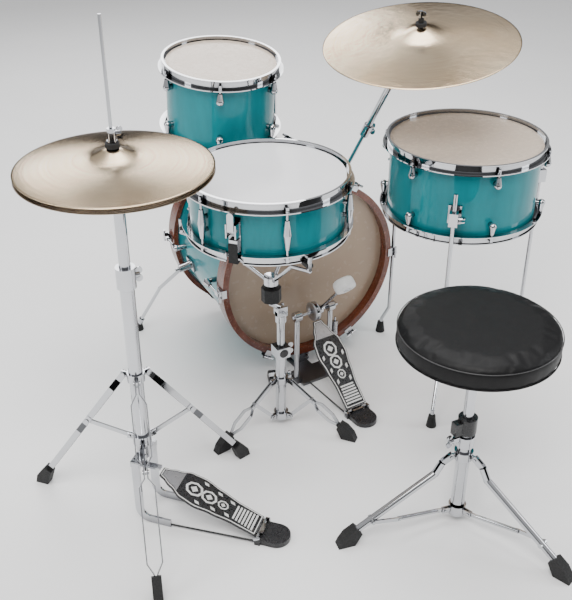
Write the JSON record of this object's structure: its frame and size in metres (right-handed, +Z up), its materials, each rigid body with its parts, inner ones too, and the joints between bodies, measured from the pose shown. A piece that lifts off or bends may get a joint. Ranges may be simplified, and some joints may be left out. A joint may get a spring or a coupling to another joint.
{
  "type": "acoustic drum kit",
  "caption": "Compact acoustic drum kit: bass drum with mounted tom and cymbal, snare on a folding stand, floor tom, hi-hat, bass pedal and round seat.",
  "frame": {"origin": "on the floor under the middle of the whole kit", "axes": "+Y along the bass drum away from the player, +X to the right of the seated player, +Z up"},
  "size_m": [1.3539, 1.3169, 1.072],
  "materials": {
    "lacquer": "gloss lacquer",
    "hoop_wood": "satin lacquer",
    "chrome": "polished",
    "clear_film": "clear",
    "coated_film": "coated",
    "bronze": "lathed",
    "vinyl": "satin",
    "pedal_black": "satin",
    "steel": "satin"
  },
  "bodies": {
    "root": {"bass_shell": "lacquer", "bass_hoops": "hoop_wood", "bass_heads": "clear_film", "bass_hardware": "chrome", "drum_arms": "chrome", "floor_tom_shell": "lacquer", "floor_tom_hoops": "chrome", "floor_tom_heads": "clear_film", "floor_tom_hardware": "chrome", "snare_stand_base": "chrome", "throne_hub": "chrome", "hihat_base": "chrome", "pedal_frame": "chrome"},
    "spur_left": {"spur_left": "chrome"},
    "spur_right": {"spur_right": "chrome"},
    "floor_tom_legs": {"floor_tom_legs": "chrome"},
    "rack_tom": {"rack_tom_shell": "lacquer", "rack_tom_hoops": "chrome", "rack_tom_heads": "clear_film", "rack_tom_hardware": "chrome"},
    "cymbal_tilter": {"cymbal_tilter": "chrome"},
    "crash_cymbal": {"crash_cymbal": "bronze"},
    "snare_post": {"snare_stand_post": "chrome"},
    "snare": {"snare_basket": "chrome", "snare_shell": "lacquer", "snare_hoops": "chrome", "snare_heads": "coated_film", "snare_hardware": "chrome"},
    "throw_off": {"throw_off_lever": "chrome"},
    "snare_stand_collar": {"snare_stand_collar": "chrome"},
    "snare_stand_leg_1": {"snare_leg_1": "chrome"},
    "snare_stand_brace_1": {"snare_brace_1": "chrome"},
    "snare_stand_leg_2": {"snare_leg_2": "chrome"},
    "snare_stand_brace_2": {"snare_brace_2": "chrome"},
    "snare_stand_leg_3": {"snare_leg_3": "chrome"},
    "snare_stand_brace_3": {"snare_brace_3": "chrome"},
    "throne_collar": {"throne_collar": "chrome"},
    "throne_leg_1": {"throne_leg_1": "chrome"},
    "throne_brace_1": {"throne_brace_1": "chrome"},
    "throne_leg_2": {"throne_leg_2": "chrome"},
    "throne_brace_2": {"throne_brace_2": "chrome"},
    "throne_leg_3": {"throne_leg_3": "chrome"},
    "throne_brace_3": {"throne_brace_3": "chrome"},
    "hihat_collar": {"hihat_collar": "chrome"},
    "hihat_leg_1": {"hihat_leg_1": "chrome"},
    "hihat_brace_1": {"hihat_brace_1": "chrome"},
    "hihat_leg_2": {"hihat_leg_2": "chrome"},
    "hihat_brace_2": {"hihat_brace_2": "chrome"},
    "hihat_leg_3": {"hihat_leg_3": "chrome"},
    "hihat_brace_3": {"hihat_brace_3": "chrome"},
    "throne_post": {"throne_post": "chrome"},
    "seat": {"seat_plate": "steel", "seat_cushion": "vinyl"},
    "hihat_tube": {"hihat_tube": "chrome", "hihat_bottom": "bronze"},
    "hihat_footboard": {"hihat_footboard": "pedal_black"},
    "pull_rod": {"pull_rod": "chrome", "hihat_top": "bronze"},
    "pedal_footboard": {"pedal_footboard": "pedal_black"},
    "pedal_beater": {"pedal_beater": "chrome"}
  },
  "joints": [
    {"name": "spur_fold_left", "type": "hinge", "parent": "root", "child": "spur_left", "pos_m": [-0.1457, 0.527, 0.23544], "axis": [0.9848, 0, 0.1736], "range_deg": [-115, 0]},
    {"name": "spur_fold_right", "type": "hinge", "parent": "root", "child": "spur_right", "pos_m": [0.3597, 0.527, 0.23544], "axis": [0.9848, 0, -0.1736], "range_deg": [-115, 0]},
    {"name": "floor_tom_height", "type": "slide", "parent": "root", "child": "floor_tom_legs", "axis": [0, 0, 1], "range_m": [0, 0.1]},
    {"name": "rack_tom_tilt", "type": "hinge", "parent": "root", "child": "rack_tom", "pos_m": [0.05998, 0.46821, 0.74021], "axis": [0.9063, 0.4199, 0.0478], "range_deg": [-6, 10]},
    {"name": "cymbal_tilt", "type": "hinge", "parent": "root", "child": "cymbal_tilter", "pos_m": [0.354, 0.2084, 0.866], "axis": [0.5635, -0.8261, 0], "range_deg": [-25, 15]},
    {"name": "cymbal_spin", "type": "hinge", "parent": "cymbal_tilter", "child": "crash_cymbal", "pos_m": [0.354, 0.2084, 0.866], "axis": [-0.1534, -0.1046, 0.9826], "continuous": true},
    {"name": "snare_height", "type": "slide", "parent": "root", "child": "snare_post", "axis": [0, 0, 1], "range_m": [0, 0.06]},
    {"name": "snare_tilt", "type": "hinge", "parent": "snare_post", "child": "snare", "pos_m": [-0.079, 0.078, 0.325], "axis": [0, 1, 0], "range_deg": [-10, 8]},
    {"name": "throw_off", "type": "hinge", "parent": "snare", "child": "throw_off", "pos_m": [-0.25536, -0.0574, 0.631], "axis": [0.6561, -0.7547, 0], "range_deg": [0, 95]},
    {"name": "snare_stand_fold", "type": "slide", "parent": "root", "child": "snare_stand_collar", "axis": [0, 0, 1], "range_m": [0, 0.0458]},
    {"name": "snare_stand_leg_1_swing", "type": "hinge", "parent": "snare_stand_collar", "child": "snare_stand_leg_1", "pos_m": [-0.07099, 0.10062, 0.131], "axis": [0.9426, -0.3338, 0], "range_deg": [-43.91, 0.5]},
    {"name": "snare_stand_brace_1_swing", "type": "hinge", "parent": "root", "child": "snare_stand_brace_1", "pos_m": [-0.07099, 0.10062, 0.026], "axis": [0.9426, -0.3338, 0], "range_deg": [-0.5, 34.05]},
    {"name": "snare_stand_leg_2_swing", "type": "hinge", "parent": "snare_stand_collar", "child": "snare_stand_leg_2", "pos_m": [-0.1026, 0.07363, 0.131], "axis": [-0.1822, 0.9833, 0], "range_deg": [-43.91, 0.5]},
    {"name": "snare_stand_brace_2_swing", "type": "hinge", "parent": "root", "child": "snare_stand_brace_2", "pos_m": [-0.1026, 0.07363, 0.026], "axis": [-0.1822, 0.9833, 0], "range_deg": [-0.5, 34.05]},
    {"name": "snare_stand_leg_3_swing", "type": "hinge", "parent": "snare_stand_collar", "child": "snare_stand_leg_3", "pos_m": [-0.06341, 0.05975, 0.131], "axis": [-0.7604, -0.6494, 0], "range_deg": [-43.91, 0.5]},
    {"name": "snare_stand_brace_3_swing", "type": "hinge", "parent": "root", "child": "snare_stand_brace_3", "pos_m": [-0.06341, 0.05975, 0.026], "axis": [-0.7604, -0.6494, 0], "range_deg": [-0.5, 34.05]},
    {"name": "throne_fold", "type": "slide", "parent": "root", "child": "throne_collar", "axis": [0, 0, 1], "range_m": [0, 0.211]},
    {"name": "throne_leg_1_swing", "type": "hinge", "parent": "throne_collar", "child": "throne_leg_1", "pos_m": [0.12412, -0.37189, 0.18], "axis": [0.7705, -0.6374, 0], "range_deg": [-36.15, 0.5]},
    {"name": "throne_brace_1_swing", "type": "hinge", "parent": "root", "child": "throne_brace_1", "pos_m": [0.12412, -0.37189, 0.03], "axis": [0.7705, -0.6374, 0], "range_deg": [-0.5, 60.03]},
    {"name": "throne_leg_2_swing", "type": "hinge", "parent": "throne_collar", "child": "throne_leg_2", "pos_m": [0.07542, -0.39, 0.18], "axis": [0.1668, 0.986, 0], "range_deg": [-36.15, 0.5]},
    {"name": "throne_brace_2_swing", "type": "hinge", "parent": "root", "child": "throne_brace_2", "pos_m": [0.07542, -0.39, 0.03], "axis": [0.1668, 0.986, 0], "range_deg": [-0.5, 60.03]},
    {"name": "throne_leg_3_swing", "type": "hinge", "parent": "throne_collar", "child": "throne_leg_3", "pos_m": [0.11546, -0.42312, 0.18], "axis": [-0.9373, -0.3486, 0], "range_deg": [-36.15, 0.5]},
    {"name": "throne_brace_3_swing", "type": "hinge", "parent": "root", "child": "throne_brace_3", "pos_m": [0.11546, -0.42312, 0.03], "axis": [-0.9373, -0.3486, 0], "range_deg": [-0.5, 60.03]},
    {"name": "hihat_fold", "type": "slide", "parent": "root", "child": "hihat_collar", "axis": [0, 0, 1], "range_m": [0, 0.1134]},
    {"name": "hihat_leg_1_swing", "type": "hinge", "parent": "hihat_collar", "child": "hihat_leg_1", "pos_m": [-0.44976, -0.04865, 0.354], "axis": [0.2351, -0.972, 0], "range_deg": [-26.31, 0.5]},
    {"name": "hihat_brace_1_swing", "type": "hinge", "parent": "root", "child": "hihat_brace_1", "pos_m": [-0.44976, -0.04865, 0.196], "axis": [0.2351, -0.972, 0], "range_deg": [-0.5, 67.09]},
    {"name": "hihat_leg_2_swing", "type": "hinge", "parent": "hihat_collar", "child": "hihat_leg_2", "pos_m": [-0.49462, -0.03545, 0.354], "axis": [0.7242, 0.6896, 0], "range_deg": [-26.31, 0.5]},
    {"name": "hihat_brace_2_swing", "type": "hinge", "parent": "root", "child": "hihat_brace_2", "pos_m": [-0.49462, -0.03545, 0.196], "axis": [0.7242, 0.6896, 0], "range_deg": [-0.5, 67.09]},
    {"name": "hihat_leg_3_swing", "type": "hinge", "parent": "hihat_collar", "child": "hihat_leg_3", "pos_m": [-0.48362, -0.0809, 0.354], "axis": [-0.9593, 0.2823, 0], "range_deg": [-26.31, 0.5]},
    {"name": "hihat_brace_3_swing", "type": "hinge", "parent": "root", "child": "hihat_brace_3", "pos_m": [-0.48362, -0.0809, 0.196], "axis": [-0.9593, 0.2823, 0], "range_deg": [-0.5, 67.09]},
    {"name": "seat_height", "type": "slide", "parent": "throne_collar", "child": "throne_post", "axis": [0, 0, 1], "range_m": [0, 0.04]},
    {"name": "seat_spin", "type": "hinge", "parent": "throne_post", "child": "seat", "pos_m": [0.105, -0.395, 0.43], "axis": [0, 0, 1], "continuous": true},
    {"name": "hihat_height", "type": "slide", "parent": "root", "child": "hihat_tube", "axis": [0, 0, 1], "range_m": [-0.1, 0]},
    {"name": "hihat_pedal", "type": "hinge", "parent": "root", "child": "hihat_footboard", "pos_m": [-0.294, -0.24347, 0.014], "axis": [0.7193, 0.6947, 0], "range_deg": [-2.1, 0], "stiffness_Nm_per_rad": 40, "springref_deg": 1.15},
    {"name": "hihat_rod", "type": "slide", "parent": "root", "child": "pull_rod", "axis": [0, 0, 1], "range_m": [-0.0085, 0]},
    {"name": "bass_pedal", "type": "hinge", "parent": "root", "child": "pedal_footboard", "pos_m": [0.10408, 0.02075, 0.014], "axis": [0.9962, 0.0872, 0], "range_deg": [-8, 0], "stiffness_Nm_per_rad": 20, "springref_deg": 11.46},
    {"name": "beater_swing", "type": "hinge", "parent": "root", "child": "pedal_beater", "pos_m": [0.087, 0.216, 0.2], "axis": [0.9962, 0.0872, 0], "range_deg": [-61.5, 0.5]}
  ],
  "couplings": [
    {"joint": "snare_stand_leg_1_swing", "follows": "snare_stand_fold", "rad_per_m": -16.544},
    {"joint": "snare_stand_brace_1_swing", "follows": "snare_stand_fold", "rad_per_m": 12.786},
    {"joint": "snare_stand_leg_2_swing", "follows": "snare_stand_fold", "rad_per_m": -16.544},
    {"joint": "snare_stand_brace_2_swing", "follows": "snare_stand_fold", "rad_per_m": 12.786},
    {"joint": "snare_stand_leg_3_swing", "follows": "snare_stand_fold", "rad_per_m": -16.544},
    {"joint": "snare_stand_brace_3_swing", "follows": "snare_stand_fold", "rad_per_m": 12.786},
    {"joint": "throne_leg_1_swing", "follows": "throne_fold", "rad_per_m": -2.9492},
    {"joint": "throne_brace_1_swing", "follows": "throne_fold", "rad_per_m": 4.9245},
    {"joint": "throne_leg_2_swing", "follows": "throne_fold", "rad_per_m": -2.9492},
    {"joint": "throne_brace_2_swing", "follows": "throne_fold", "rad_per_m": 4.9245},
    {"joint": "throne_leg_3_swing", "follows": "throne_fold", "rad_per_m": -2.9492},
    {"joint": "throne_brace_3_swing", "follows": "throne_fold", "rad_per_m": 4.9245},
    {"joint": "hihat_leg_1_swing", "follows": "hihat_fold", "rad_per_m": -3.9724},
    {"joint": "hihat_brace_1_swing", "follows": "hihat_fold", "rad_per_m": 10.249},
    {"joint": "hihat_leg_2_swing", "follows": "hihat_fold", "rad_per_m": -3.9724},
    {"joint": "hihat_brace_2_swing", "follows": "hihat_fold", "rad_per_m": 10.249},
    {"joint": "hihat_leg_3_swing", "follows": "hihat_fold", "rad_per_m": -3.9724},
    {"joint": "hihat_brace_3_swing", "follows": "hihat_fold", "rad_per_m": 10.249},
    {"joint": "hihat_rod", "follows": "hihat_pedal", "m_per_rad": 0.214},
    {"joint": "beater_swing", "follows": "bass_pedal", "ratio": 7.625}
  ]
}
